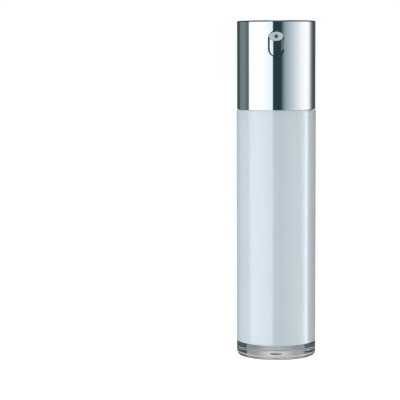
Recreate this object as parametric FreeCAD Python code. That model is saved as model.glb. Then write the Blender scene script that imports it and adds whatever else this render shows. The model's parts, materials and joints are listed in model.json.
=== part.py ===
# Airless pump bottle: a clear heavy-based outer bottle, a white inner bottle with a rising follower,
# a snap-on pump with its spring outside the product path, and a fixed mirror-bright shell
# whose open top is filled by the push button. The nozzle rides in a slot of the shell.
# Millimetres, +Z up, origin at the centre of the resting ring, nozzle towards -Y.
import FreeCAD, Part
import math
import os
from FreeCAD import Vector

# Outer bottle
body_radius = 17.0
outer_wall = 1.8
outer_height = 105.2
rim_bevel = 0.3
base_height = 6.0
base_ring_width = 4.4
base_floor = 1.1
base_corner = 1.5
cavity_bevel = 0.6
foot_width = 2.5
foot_recess = 0.35
gate_radius = 2.4
gate_depth = 0.4
vent_radius = 0.6

# Inner bottle
nest_gap = 0.05
inner_floor = 1.3
inner_bevel = 0.8
heel_bevel = 0.4
rim_gap = 0.2
flange_height = 1.2
flange_gap = 0.1
neck_height = 4.8
neck_wall = 0.8
inner_vent_radius = 0.75

# Snap beads of the neck and the shoulder, and the clearance of parts that are pushed together
snap_height = 0.25
snap_land = 0.5
seat_gap = 0.05

# Follower
seal_gap = 0.05
follower_leg_length = 3.3
follower_wall = 1.1
follower_lip_height = 1.6
follower_lip_reach = 0.6
follower_foot_gap = 0.2
follower_head_gap = 0.3
well_floor_gap = 1.1
well_gap = 0.9
follower_rib_width = 0.9
follower_rib_count = 6

# Gasket, pump collar and shoulder
gasket_height = 0.8
gasket_width = 1.9
collar_wall = 0.7
collar_plate = 1.2
collar_lift = 0.6
shoulder_wall = 0.75
shoulder_ledge = 1.0
shoulder_ledge_reach = 4.4
shoulder_ledge_gap = 0.1
key_width = 2.0
key_height = 0.3
key_length = 2.6

# Pump housing
housing_flange = 1.2
chamber_radius = 4.5
chamber_wall = 1.0
barrel_below = 7.0
barrel_floor = 1.4
spout_radius = 3.0
spout_length = 1.6
inlet_radius = 1.3
seat_lead = 0.1

# Inlet valve
ball_radius = 1.9
ball_gap = 0.05
ball_lift = 0.8
ball_guide_gap = 0.35
cage_wall_gap = 0.7
cage_bar_count = 2
cage_bar_width = 1.0
cage_bar_height = 0.9
cage_slot_width = 1.6
cage_slot_count = 4

# Chamber cap and wiper
cap_plate = 1.2
cap_skirt = 4.5
cap_wall = 1.0
cap_lip_height = 1.5
cap_lip_wall = 0.9
wiper_height = 1.2
wiper_waist = 0.25

# Stem, its foot and the sliding seal
stem_radius = 2.4
stem_bore_radius = 1.3
stem_gap = 0.05
stem_duct_gap = 0.25
stem_notch_width = 0.8
stem_notch_height = 1.3
stem_notch_count = 4
foot_gap = 0.4
foot_height = 1.2
foot_edge_height = 0.6
foot_side_gap = 0.8
shank_blade_count = 4
shank_blade = 0.8
shank_length = 5.0
seal_height = 3.0
seal_seat_gap = 0.03
seal_shift = 0.8
seal_top_gap = 0.36
seal_hub_wall = 0.75
seal_web_height = 1.0
seal_lip_wall = 0.45

# Return spring
wire_radius = 0.5
wire_sides = 8
spring_side_gap = 0.65
active_turns = 3.5
end_pitch = 1.55
spring_gap = 0.03
arcs_per_turn = 4

# Fixed shell, a hair inside the bottle's outline
shell_inset = 0.1
shell_wall = 0.9
shell_height = 37.2
shell_gap = 0.3
shell_rim_bevel = 0.45
shell_edge_bevel = 0.15
slot_width = 6.55
slot_foot_gap = 0.55
slot_below_top = 4.3
slot_bevel = 0.12

# Push button and its core
press_gap = 0.3
button_drop = 0.1
button_plate = 1.2
button_wall = 1.0
button_bevel = 0.4
skirt_cover = 1.2
press_over = 0.4
core_height = 10.1
core_flange_height = 1.2
core_flange_reach = 1.1
spring_pilot_wall = 0.8
spring_pilot_height = 1.2
hub_wall = 1.5
core_rib_width = 1.0
core_rib_rise = 1.5
core_rib_count = 4
core_rib_turn = 45.0
arm_wall = 0.8
duct_radius = 1.0

# Nozzle
nozzle_side_gap = 0.27
nozzle_height = 4.2
nozzle_reach = 1.2
nozzle_head = 4.9
nozzle_gap = 0.08
nozzle_bevel = 0.3
nozzle_slot_gap = 0.35
spigot_radius = 1.9
spigot_length = 3.6
orifice_radius = 0.85

# One overrun serves every cut
overrun = 1.0

FULL_TURN = math.degrees(math.tau)
UP = Vector(0, 0, 1)
FRONT = Vector(0, -1, 0)

# Radii, worked out from the outside of the head inwards
outer_bore = body_radius - outer_wall
cavity_radius = body_radius - base_ring_width
inner_radius = outer_bore - nest_gap
shell_radius = body_radius - shell_inset
shell_bore = shell_radius - shell_wall
shoulder_radius = shell_bore - seat_gap
collar_radius = shoulder_radius - shoulder_wall - seat_gap
neck_radius = collar_radius - collar_wall - seat_gap
bore_radius = neck_radius - neck_wall
flange_radius = shell_bore - flange_gap
barrel_radius = chamber_radius + chamber_wall
cap_radius = barrel_radius + seat_gap + cap_wall
spring_radius = cap_radius + spring_side_gap + wire_radius
button_radius = shell_bore - press_gap
button_bore = button_radius - button_wall

# Heights of the bottle and its neck, from the base up
floor_top = foot_recess + base_floor
inner_floor_top = base_height + inner_floor
flange_bottom = outer_height + rim_gap
flange_top = flange_bottom + flange_height
neck_top = flange_top + neck_height
gasket_top = neck_top + gasket_height
housing_top = gasket_top + housing_flange
collar_top = housing_top + collar_plate
shoulder_top = collar_top + shoulder_ledge_gap + shoulder_ledge

# Heights of the head, from the shell's rim down
shell_bottom = outer_height + shell_gap
shell_top = shell_bottom + shell_height
slot_top = shell_top - slot_below_top
button_top = shell_top - button_drop
button_ceiling = button_top - button_plate
core_bottom = button_ceiling - core_height
nozzle_centre = slot_top - nozzle_slot_gap - nozzle_height / 2
stem_top = nozzle_centre - duct_radius - stem_duct_gap

# Lower end of the barrel. The ball rests on a seat that opens at 45 degrees, a small gap off it
barrel_bottom = gasket_top - barrel_below
spout_bottom = barrel_bottom - spout_length
chamber_bottom = barrel_bottom + barrel_floor
seat_bottom = barrel_bottom + seat_lead
seat_apex = seat_bottom - inlet_radius
ball_centre = seat_apex + (ball_radius + ball_gap) * math.sqrt(2)
cage_top = ball_centre + ball_radius + ball_lift + ball_gap + cage_bar_height

# The head's height leaves room for the stroke twice: in the barrel, and between its cap and the core
foot_and_seal = foot_gap + foot_height + seal_seat_gap + seal_height + seal_shift + seal_top_gap
cap_and_press = cap_lip_height + cap_plate + press_over
stroke = (core_bottom - cage_top - foot_and_seal - cap_and_press) / 2
foot_bottom = cage_top + foot_gap + stroke
seal_bottom = foot_bottom + foot_height + seal_seat_gap
cap_top = core_bottom - press_over - stroke
barrel_top = cap_top - cap_plate
slot_length = nozzle_slot_gap + nozzle_height + stroke + slot_foot_gap
slot_bottom = slot_top - slot_length
button_bottom = slot_bottom - skirt_cover

# Nozzle
nozzle_width = slot_width - nozzle_side_gap * 2
nozzle_tip = shell_radius + nozzle_reach
nozzle_back = nozzle_tip - nozzle_head

# Follower: at the end of its travel its well clears the spout and its crown the neck's rim
well_radius = barrel_radius + well_gap
well_depth = neck_top - follower_head_gap - spout_bottom + well_floor_gap
follower_height = well_depth + follower_wall + follower_leg_length
follower_bottom = inner_floor_top + follower_foot_gap
follower_top = follower_bottom + follower_height
follower_radius = bore_radius - seal_gap
follower_travel = neck_top - follower_head_gap - follower_top


def lathe(outline):
    """Turns a closed outline of (radius, height) points about the bottle's axis."""
    points = [Vector(radius, 0, height) for radius, height in outline]
    face = Part.Face(Part.makePolygon(points + points[:1]))
    return face.revolve(Vector(0, 0, 0), UP, FULL_TURN)


def tube(bore, radius, bottom, top):
    """Upright tube from bottom to top."""
    return lathe([(bore, bottom), (radius, bottom), (radius, top), (bore, top)])


def rod(radius, bottom, top):
    """Upright rod from bottom to top."""
    return Part.makeCylinder(radius, top - bottom, Vector(0, 0, bottom), UP)


def front_rod(radius, start, end, height):
    """Level rod that runs towards the front, from one distance off the axis to another."""
    return Part.makeCylinder(radius, end - start, Vector(0, -start, height), FRONT)


def slab(width, near, far, bottom, top, turn):
    """Upright radial slab between two distances off the axis, turned about the axis by an angle."""
    box = Part.makeBox(far - near, width, top - bottom, Vector(near, -width / 2, bottom))
    box.rotate(Vector(0, 0, 0), UP, turn)
    return box


def spokes(count, first_turn, **sizes):
    """The same radial slab, repeated evenly about the axis."""
    step = FULL_TURN / count
    return [slab(turn=first_turn + i * step, **sizes) for i in range(count)]


def oval_rod(width, height, start, end, centre):
    """Level rod of oval section that runs towards the front at a height."""
    middle = Vector(0, -start, centre)
    long_end = middle + Vector(width / 2, 0, 0)
    short_end = middle + Vector(0, 0, height / 2)
    edge = Part.Ellipse(long_end, short_end, middle).toShape()
    return Part.Face(Part.Wire([edge])).extrude(Vector(0, start - end, 0))


def rims(shape, radius, height):
    """The circular edges of a turned shape at one radius and height."""
    tolerance = seat_gap / 2
    found = []
    for edge in shape.Edges:
        if not isinstance(edge.Curve, Part.Circle):
            continue
        same_radius = abs(edge.Curve.Radius - radius) < tolerance
        same_height = abs(edge.Curve.Center.z - height) < tolerance
        level = abs(edge.Curve.Axis.z) > math.cos(math.pi / arcs_per_turn)
        if same_radius and same_height and level:
            found.append(edge)
    return found


def rounded(shape, size, *places):
    """Rounds the circular edges at the given (radius, height) places."""
    edges = [edge for radius, height in places for edge in rims(shape, radius, height)]
    return shape.makeFillet(size, edges)


def chamfered(shape, size, *places):
    """Bevels the circular edges at the given (radius, height) places."""
    edges = [edge for radius, height in places for edge in rims(shape, radius, height)]
    return shape.makeChamfer(size, edges)


def bead(radius, bottom, height):
    """Outline points of a snap bead that rises from a wall, from its lower to its upper edge."""
    return [
        (radius, bottom),
        (radius + height, bottom + height),
        (radius + height, bottom + height + snap_land),
        (radius, bottom + height + snap_land + height),
    ]


def make_outer_bottle():
    """Clear bottle with a heavy base ring, a hollow under the inner bottle and a vented floor."""
    foot_bore = body_radius - base_corner - foot_width
    body = lathe([
        (0, foot_recess),
        (foot_bore, foot_recess),
        (foot_bore, 0),
        (body_radius, 0),
        (body_radius, outer_height),
        (outer_bore, outer_height),
        (outer_bore, base_height),
        (cavity_radius, base_height),
        (cavity_radius, floor_top),
        (0, floor_top),
    ])
    body = rounded(body, base_corner, (body_radius, 0))
    body = chamfered(body, cavity_bevel, (cavity_radius, floor_top))
    body = chamfered(body, rim_bevel, (body_radius, outer_height), (outer_bore, outer_height))
    gate = rod(gate_radius, foot_recess - overrun, foot_recess + gate_depth)
    vent = rod(vent_radius, foot_recess, floor_top + overrun)
    return body.cut(gate).cut(vent)


def make_inner_bottle():
    """White product bottle that stands on the base ring and ends in a snap-bead neck."""
    bead_bottom = flange_top + (neck_height - snap_land) / 2 - snap_height
    body = lathe([
        (0, base_height),
        (inner_radius, base_height),
        (inner_radius, flange_bottom),
        (flange_radius, flange_bottom),
        (flange_radius, flange_top),
        (neck_radius, flange_top),
        *bead(neck_radius, bead_bottom, snap_height),
        (neck_radius, neck_top),
        (bore_radius, neck_top),
        (bore_radius, inner_floor_top),
        (0, inner_floor_top),
    ])
    body = chamfered(body, heel_bevel, (inner_radius, base_height))
    body = chamfered(body, inner_bevel, (bore_radius, inner_floor_top))
    return body.cut(rod(inner_vent_radius, base_height - overrun, inner_floor_top + overrun))


def make_follower_piston():
    """Moulded follower: two wiping lips, a well that clears the pump barrel, and ribs beneath."""
    skirt_radius = follower_radius - follower_lip_reach
    skirt_bore = skirt_radius - follower_wall
    well_outside = well_radius + follower_wall
    well_floor = follower_top - well_depth
    crown_under = follower_top - follower_wall
    lip_shoulder = follower_lip_height - follower_lip_reach
    foot = follower_bottom + inner_bevel
    body = lathe([
        (0, well_floor - follower_wall),
        (well_outside, well_floor - follower_wall),
        (well_outside, crown_under),
        (skirt_bore, crown_under),
        (skirt_bore, follower_bottom),
        (skirt_radius, follower_bottom),
        (skirt_radius, foot - follower_lip_reach),
        (follower_radius, foot),
        (follower_radius, foot + lip_shoulder),
        (skirt_radius, foot + follower_lip_height),
        (skirt_radius, follower_top - follower_lip_height),
        (follower_radius, follower_top - lip_shoulder),
        (follower_radius, follower_top),
        (well_radius, follower_top),
        (well_radius, well_floor),
        (0, well_floor),
    ])
    ribs = spokes(
        follower_rib_count, 0,
        width=follower_rib_width,
        near=well_outside - follower_wall / 2,
        far=skirt_bore + follower_wall / 2,
        bottom=well_floor - follower_wall,
        top=crown_under + follower_wall / 2,
    )
    return body.fuse(ribs).removeSplitter()


def make_neck_gasket():
    """Flat ring between the neck's rim and the pump's flange."""
    return tube(neck_radius - gasket_width, neck_radius, neck_top, gasket_top)


def make_pump_housing():
    """Pump barrel with its neck flange, conical ball seat and short inlet spout."""
    seat_top_radius = inlet_radius + chamber_bottom - seat_bottom
    return lathe([
        (inlet_radius, spout_bottom),
        (spout_radius, spout_bottom),
        (spout_radius, barrel_bottom),
        (barrel_radius, barrel_bottom),
        (barrel_radius, gasket_top),
        (neck_radius, gasket_top),
        (neck_radius, housing_top),
        (barrel_radius, housing_top),
        (barrel_radius, barrel_top),
        (chamber_radius, barrel_top),
        (chamber_radius, chamber_bottom),
        (seat_top_radius, chamber_bottom),
        (inlet_radius, seat_bottom),
    ])


def make_pump_collar():
    """Snap collar that clamps the housing and gasket on the neck and carries the spring."""
    bore = neck_radius + seat_gap
    bead_bottom = flange_top + (neck_height - snap_land) / 2 - snap_height
    return lathe([
        (collar_radius, flange_top + collar_lift),
        (collar_radius, collar_top),
        (barrel_radius + seat_gap, collar_top),
        (barrel_radius + seat_gap, housing_top),
        (bore, housing_top),
        *reversed(bead(bore, bead_bottom, snap_height)),
        (bore, flange_top + collar_lift),
    ])


def make_inner_shoulder():
    """Sleeve that stands on the neck flange, holds the collar down and carries the shell."""
    bore = shoulder_radius - shoulder_wall
    ledge_under = collar_top + shoulder_ledge_gap
    bead_bottom = flange_top + key_length + snap_land
    body = lathe([
        (bore, flange_top),
        (shoulder_radius, flange_top),
        *bead(shoulder_radius, bead_bottom, snap_height),
        (shoulder_radius, shoulder_top),
        (shoulder_radius - shoulder_ledge_reach, shoulder_top),
        (shoulder_radius - shoulder_ledge_reach, ledge_under),
        (bore, ledge_under),
    ])
    key = slab(
        key_width, shoulder_radius - shoulder_wall / 2, shoulder_radius + key_height,
        flange_top, flange_top + key_length, FULL_TURN / 4,
    )
    return body.fuse(key).removeSplitter()


def make_chamber_cap():
    """Cap that closes the barrel, guides the stem and stops the seal at the top of its travel."""
    skirt_bore = barrel_radius + seat_gap
    lip_radius = chamber_radius - seat_gap
    return lathe([
        (stem_radius + stem_gap, barrel_top),
        (lip_radius - cap_lip_wall, barrel_top),
        (lip_radius - cap_lip_wall, barrel_top - cap_lip_height),
        (lip_radius, barrel_top - cap_lip_height),
        (lip_radius, barrel_top),
        (skirt_bore, barrel_top),
        (skirt_bore, barrel_top - cap_skirt),
        (cap_radius, barrel_top - cap_skirt),
        (cap_radius, cap_top),
        (stem_radius + stem_gap, cap_top),
    ])


def make_stem_wiper():
    """Soft waisted ring that wipes the stem, held under the cap inside its lip."""
    bore = stem_radius + stem_gap
    radius = chamber_radius - seat_gap - cap_lip_wall - seat_gap
    middle = barrel_top - wiper_height / 2
    return lathe([
        (bore, barrel_top - wiper_height),
        (radius, barrel_top - wiper_height),
        (radius, barrel_top),
        (bore, barrel_top),
        (bore + wiper_waist, middle),
    ])


def make_inlet_ball():
    """Loose ball of the inlet valve."""
    return Part.makeSphere(ball_radius, Vector(0, 0, ball_centre))


def make_ball_cage():
    """Pressed-in ring with flow slots and a cross bar that keeps the ball near its seat."""
    radius = chamber_radius - seat_gap
    guide = ball_radius + ball_guide_gap
    bar_bottom = cage_top - cage_bar_height
    body = tube(guide, radius, chamber_bottom, cage_top)
    body = body.cut(spokes(
        cage_slot_count, FULL_TURN / cage_slot_count / 2,
        width=cage_slot_width, near=0, far=radius - cage_wall_gap,
        bottom=chamber_bottom - overrun, top=cage_top + overrun,
    ))
    bars = spokes(
        cage_bar_count, 0,
        width=cage_bar_width, near=0, far=guide + cage_wall_gap / 2,
        bottom=bar_bottom, top=cage_top,
    )
    return body.fuse(bars).removeSplitter()


def make_pump_stem():
    """Hollow stem, notched at its lower end so that product can enter above its foot."""
    body = tube(stem_bore_radius, stem_radius, foot_bottom + foot_height, stem_top)
    notches = spokes(
        stem_notch_count, 0,
        width=stem_notch_width, near=0, far=stem_radius + overrun,
        bottom=foot_bottom + foot_height - overrun,
        top=foot_bottom + foot_height + stem_notch_height,
    )
    return body.cut(notches)


def make_stem_foot():
    """Foot that closes the stem: a tapered flange under the seal and a cross-bladed shank."""
    radius = chamber_radius - foot_side_gap
    flange_top_height = foot_bottom + foot_height
    flange = lathe([
        (0, foot_bottom),
        (radius, foot_bottom),
        (radius, foot_bottom + foot_edge_height),
        (stem_radius + seal_hub_wall, flange_top_height),
        (0, flange_top_height),
    ])
    reach = stem_bore_radius - stem_gap
    blades = spokes(
        shank_blade_count, FULL_TURN / shank_blade_count / 2,
        width=shank_blade, near=0, far=reach,
        bottom=flange_top_height - foot_edge_height,
        top=flange_top_height + shank_length,
    )
    # The blade ends are trimmed to the round of the stem's bore.
    trimmed = [blade.common(rod(reach, foot_bottom, stem_top)) for blade in blades]
    return flange.fuse(trimmed).removeSplitter()


def make_stem_seal():
    """Sliding seal that doubles as the outlet valve: a hub on the stem and two wall lips."""
    bore = stem_radius + stem_gap
    radius = chamber_radius - seal_gap
    lip_bore = radius - seal_lip_wall
    hub = bore + seal_hub_wall
    top = seal_bottom + seal_height
    web_bottom = seal_bottom + (seal_height - seal_web_height) / 2
    web_top = web_bottom + seal_web_height
    return lathe([
        (bore, seal_bottom),
        (hub, seal_bottom),
        (hub, web_bottom),
        (lip_bore, web_bottom),
        (lip_bore, seal_bottom),
        (radius, seal_bottom),
        (radius, seal_bottom + seal_lip_wall),
        (radius - seal_lip_wall / 2, web_bottom),
        (radius - seal_lip_wall / 2, web_top),
        (radius, top - seal_lip_wall),
        (radius, top),
        (lip_bore, top),
        (lip_bore, web_top),
        (hub, web_top),
        (hub, top),
        (bore, top),
    ])


def spring_line():
    """Points and directions along the spring's wire centre, a quarter turn apart."""
    low = collar_top + wire_radius + spring_gap
    high = core_bottom - wire_radius - spring_gap
    body_pitch = (high - low - end_pitch * 2) / active_turns
    quarters = int(active_turns * arcs_per_turn) + arcs_per_turn * 2
    pitches = []
    for i in range(quarters):
        in_end_turn = i < arcs_per_turn or i >= quarters - arcs_per_turn
        pitches.append(end_pitch if in_end_turn else body_pitch)
    points, directions, height = [], [], low
    for i in range(quarters + 1):
        before = pitches[max(i - 1, 0)]
        after = pitches[min(i, quarters - 1)]
        turn = math.pi * 2 * i / arcs_per_turn
        points.append(Vector(spring_radius * math.cos(turn), spring_radius * math.sin(turn), height))
        rise = (before + after) / 2 / (math.pi * 2 * spring_radius)
        direction = Vector(-math.sin(turn), math.cos(turn), rise)
        directions.append(direction.normalize())
        height += after / arcs_per_turn
    return points, directions


def arc_through(start, corner, end):
    """Arc from start to end whose end tangents meet at corner."""
    middle = (start + end) / 2
    half_chord = (end - start).Length / 2
    half_angle = math.acos(half_chord / (corner - start).Length)
    share = math.tan(half_angle / 2) / math.tan(half_angle)
    return Part.Arc(start, middle + (corner - middle) * share, end).toShape()


def biarc(start, start_direction, end, end_direction):
    """Two arcs that leave and arrive in the given directions and meet smoothly."""
    span = end - start
    along = span.dot(start_direction + end_direction)
    turn = (1 - start_direction.dot(end_direction)) * 2
    reach = (math.sqrt(along * along + turn * span.dot(span)) - along) / turn
    first_corner = start + start_direction * reach
    last_corner = end - end_direction * reach
    joint = (first_corner + last_corner) / 2
    return [arc_through(start, first_corner, joint), arc_through(joint, last_corner, end)]


def least_coil_gap(path):
    """Least clear distance between neighbouring turns of the wire, measured on points."""
    per_turn = arcs_per_turn * 2
    places = [edge.Curve.value(edge.FirstParameter) for edge in path]
    distances = [
        (places[i] - places[i + per_turn]).Length for i in range(len(places) - per_turn)
    ]
    return min(distances) - wire_radius * 2


def wire_section(centre, direction):
    """Even-sided section of the wire, square to its direction, which keeps the long sweep light."""
    outwards = Vector(centre.x, centre.y, 0).normalize()
    across = direction.cross(outwards)
    corners = []
    for i in range(wire_sides):
        turn = math.pi * (i * 2 + 1) / wire_sides
        corners.append(centre + (outwards * math.cos(turn) + across * math.sin(turn)) * wire_radius)
    return Part.makePolygon(corners + corners[:1])


def make_return_spring():
    """Compression spring, one unbroken wire round the barrel, from the collar to the core."""
    points, directions = spring_line()
    path = []
    for i in range(len(points) - 1):
        path += biarc(points[i], directions[i], points[i + 1], directions[i + 1])
    print("least gap between spring turns", round(least_coil_gap(path), 3))
    return Part.Wire(path).makePipeShell([wire_section(points[0], directions[0])], True, False)


def make_head_shell():
    """Fixed shell, open at the top, with the nozzle's slot, a snap groove and a keyway."""
    bead_bottom = flange_top + key_length + snap_land
    body = lathe([
        (shell_radius, shell_bottom),
        (shell_radius, shell_top),
        (shell_bore, shell_top),
        *reversed(bead(shell_bore, bead_bottom, snap_height)),
        (shell_bore, shell_bottom),
    ])
    body = chamfered(body, shell_rim_bevel, (shell_radius, shell_top))
    body = chamfered(body, shell_edge_bevel, (shell_radius, shell_bottom), (shell_bore, shell_top))
    half = slot_width / 2
    near = shell_bore - overrun
    far = shell_radius + overrun
    upper = front_rod(half, near, far, slot_top - half)
    lower = front_rod(half, near, far, slot_bottom + half)
    middle = Part.makeBox(
        slot_width, far - near, slot_length - slot_width,
        Vector(-half, -far, slot_bottom + half),
    )
    body = body.cut(upper.fuse([lower, middle]).removeSplitter())
    keyway = slab(
        key_width + seat_gap * 2, shell_bore - overrun, shell_bore + key_height,
        shell_bottom - overrun, flange_top + key_length + seat_gap, FULL_TURN / 4,
    )
    body = body.cut(keyway)
    edges = []
    for edge in body.Edges:
        ends = [vertex.Point for vertex in edge.Vertexes]
        in_slot = all(p.y < 0 and slot_bottom - overrun < p.z < slot_top + overrun for p in ends)
        on_outside = all(abs(math.hypot(p.x, p.y) - shell_radius) < seat_gap / 2 for p in ends)
        narrow = all(abs(p.x) < half + seat_gap for p in ends)
        if in_slot and on_outside and narrow:
            edges.append(edge)
    return body.makeChamfer(slot_bevel, edges)


def make_actuator_cap():
    """Push button: flat top and a skirt that fills the slot behind the nozzle."""
    body = lathe([
        (0, button_ceiling),
        (button_bore, button_ceiling),
        (button_bore, button_bottom),
        (button_radius, button_bottom),
        (button_radius, button_top),
        (0, button_top),
    ])
    body = chamfered(body, button_bevel, (button_radius, button_top))
    window = oval_rod(
        nozzle_width + nozzle_gap * 2, nozzle_height + nozzle_gap * 2,
        nozzle_back - overrun, nozzle_tip + overrun, nozzle_centre,
    )
    return body.cut(window)


def make_actuator_core():
    """Moulded core of the button: stem socket, spring plate, duct arm and cross ribs."""
    hub_radius = stem_radius + hub_wall
    plate_radius = spring_radius + wire_radius + core_flange_reach + spring_pilot_wall
    pilot_bore = plate_radius - spring_pilot_wall
    arm_radius = spigot_radius + seat_gap + arm_wall
    arm_end = nozzle_back - seat_gap
    hub = rod(hub_radius, core_bottom, button_ceiling)
    plate = rod(plate_radius, core_bottom, core_bottom + core_flange_height)
    pilot = tube(pilot_bore, plate_radius, core_bottom - spring_pilot_height, core_bottom + seat_gap)
    arm = front_rod(arm_radius, 0, arm_end, nozzle_centre)
    ribs = spokes(
        core_rib_count, core_rib_turn,
        width=core_rib_width, near=hub_radius / 2, far=button_bore - seat_gap,
        bottom=core_bottom + core_flange_height + core_rib_rise, top=button_ceiling,
    )
    body = hub.fuse([plate, pilot, arm] + ribs).removeSplitter()
    socket = rod(stem_radius + seat_gap, core_bottom - overrun, stem_top)
    riser = rod(duct_radius, core_bottom, nozzle_centre)
    duct = front_rod(duct_radius, 0, arm_end + overrun, nozzle_centre)
    nozzle_seat = front_rod(
        spigot_radius + seat_gap, arm_end - spigot_length - seat_gap, arm_end + overrun, nozzle_centre,
    )
    return body.cut([socket, riser, duct, nozzle_seat])


def make_nozzle_insert():
    """Oval nozzle tip with a round spigot that plugs into the core's duct."""
    head = oval_rod(nozzle_width, nozzle_height, nozzle_back, nozzle_tip, nozzle_centre)
    face_edges = [
        edge for edge in head.Edges
        if all(abs(vertex.Point.y + nozzle_tip) < seat_gap / 2 for vertex in edge.Vertexes)
        and edge.Length > nozzle_width
    ]
    head = head.makeChamfer(nozzle_bevel, face_edges)
    spigot = front_rod(spigot_radius, nozzle_back - spigot_length, nozzle_back + seat_gap, nozzle_centre)
    orifice = front_rod(
        orifice_radius, nozzle_back - spigot_length - overrun, nozzle_tip + overrun, nozzle_centre,
    )
    return head.fuse(spigot).removeSplitter().cut(orifice)


MAKERS = {
    "outer_bottle": make_outer_bottle,
    "inner_bottle": make_inner_bottle,
    "follower_piston": make_follower_piston,
    "neck_gasket": make_neck_gasket,
    "pump_housing": make_pump_housing,
    "pump_collar": make_pump_collar,
    "inner_shoulder": make_inner_shoulder,
    "chamber_cap": make_chamber_cap,
    "stem_wiper": make_stem_wiper,
    "inlet_ball": make_inlet_ball,
    "ball_cage": make_ball_cage,
    "pump_stem": make_pump_stem,
    "stem_foot": make_stem_foot,
    "stem_seal": make_stem_seal,
    "return_spring": make_return_spring,
    "head_shell": make_head_shell,
    "actuator_cap": make_actuator_cap,
    "actuator_core": make_actuator_core,
    "nozzle_insert": make_nozzle_insert,
}


def main():
    """Makes every piece and writes one STEP file for each."""
    os.makedirs("parts", exist_ok=True)
    for name, maker in MAKERS.items():
        shape = maker()
        if not shape.isValid() or not shape.Solids:
            raise ValueError(name + " is not a valid solid")
        shape.exportStep("parts/" + name + ".step")
        print(name, len(shape.Solids), "solids,", round(shape.Volume, 1), "cubic mm")
    print("follower travel", round(follower_travel, 3), "stroke", round(stroke, 3))
    print("seal shift", seal_shift, "ball lift", ball_lift)


main()
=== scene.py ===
# Airless pump bottle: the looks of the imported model, in metres, nozzle towards -Y.
import json
import math

import bmesh
import bpy
from bpy.props import FloatProperty, FloatVectorProperty, IntProperty, PointerProperty
from mathutils import Matrix, Vector


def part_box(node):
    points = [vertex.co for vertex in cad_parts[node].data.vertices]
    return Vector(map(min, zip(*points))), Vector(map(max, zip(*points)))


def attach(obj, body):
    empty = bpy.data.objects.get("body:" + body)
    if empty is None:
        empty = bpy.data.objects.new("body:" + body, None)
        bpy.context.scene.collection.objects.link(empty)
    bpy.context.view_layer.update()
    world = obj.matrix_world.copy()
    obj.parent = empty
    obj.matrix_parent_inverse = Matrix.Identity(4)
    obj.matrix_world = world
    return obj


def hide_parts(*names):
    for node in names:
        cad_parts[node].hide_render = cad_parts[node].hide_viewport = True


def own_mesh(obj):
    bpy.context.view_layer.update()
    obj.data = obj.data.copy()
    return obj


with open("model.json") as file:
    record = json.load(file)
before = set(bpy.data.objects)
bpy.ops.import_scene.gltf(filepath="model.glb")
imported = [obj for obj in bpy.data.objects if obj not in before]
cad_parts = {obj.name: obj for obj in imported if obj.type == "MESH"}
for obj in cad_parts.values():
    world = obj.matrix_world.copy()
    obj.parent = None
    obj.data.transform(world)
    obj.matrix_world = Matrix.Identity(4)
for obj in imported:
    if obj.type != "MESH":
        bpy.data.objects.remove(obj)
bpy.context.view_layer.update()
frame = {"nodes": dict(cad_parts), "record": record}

bl_info = {
    "name": "Airless pump bottle",
    "version": (1, 0, 0),
    "blender": (4, 5, 0),
    "location": "3D Viewport > Sidebar > Pump Bottle",
    "description": "Clear and white bottle, mirror-bright shell and button, oval nozzle and the pump inside",
    "category": "Object",
}

MM = 0.001
FULL_TURN = math.tau

# How near a corner lies to a round wall to count as on it, and to a neighbour to be merged
ON_WALL = 2e-6
LOOP_MERGE = 1e-6
POLE_MERGE = 1e-7

# Small roundings and reliefs that no user would change
FINE_EDGE = 0.05 * MM
SMALL_EDGE = 0.1 * MM
SOFT_EDGE = 0.15 * MM
WINDOW_GAP = 0.08 * MM
SNAP_REACH = 0.25 * MM
SNAP_HEIGHT = 1.0 * MM

CLEAR_LOW, CLEAR_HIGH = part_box("outer_bottle")
WHITE_LOW, WHITE_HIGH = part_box("inner_bottle")
SHELL_LOW, SHELL_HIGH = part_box("head_shell")
BUTTON_LOW, BUTTON_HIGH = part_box("actuator_cap")
NOZZLE_LOW, NOZZLE_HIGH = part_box("nozzle_insert")
SPRING_LOW, SPRING_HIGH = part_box("return_spring")
SHOULDER_LOW, SHOULDER_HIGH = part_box("inner_shoulder")


def length(name, description, millimetres):
    """A size property, in metres, that a user would change."""
    return FloatProperty(
        name=name, description=description, default=millimetres * MM,
        min=0.0, precision=5, unit="LENGTH", subtype="DISTANCE",
    )


def colour(name, description, value):
    """A colour property that a user would change."""
    return FloatVectorProperty(
        name=name, description=description, default=value, size=3, min=0.0, max=1.0, subtype="COLOR",
    )


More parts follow.
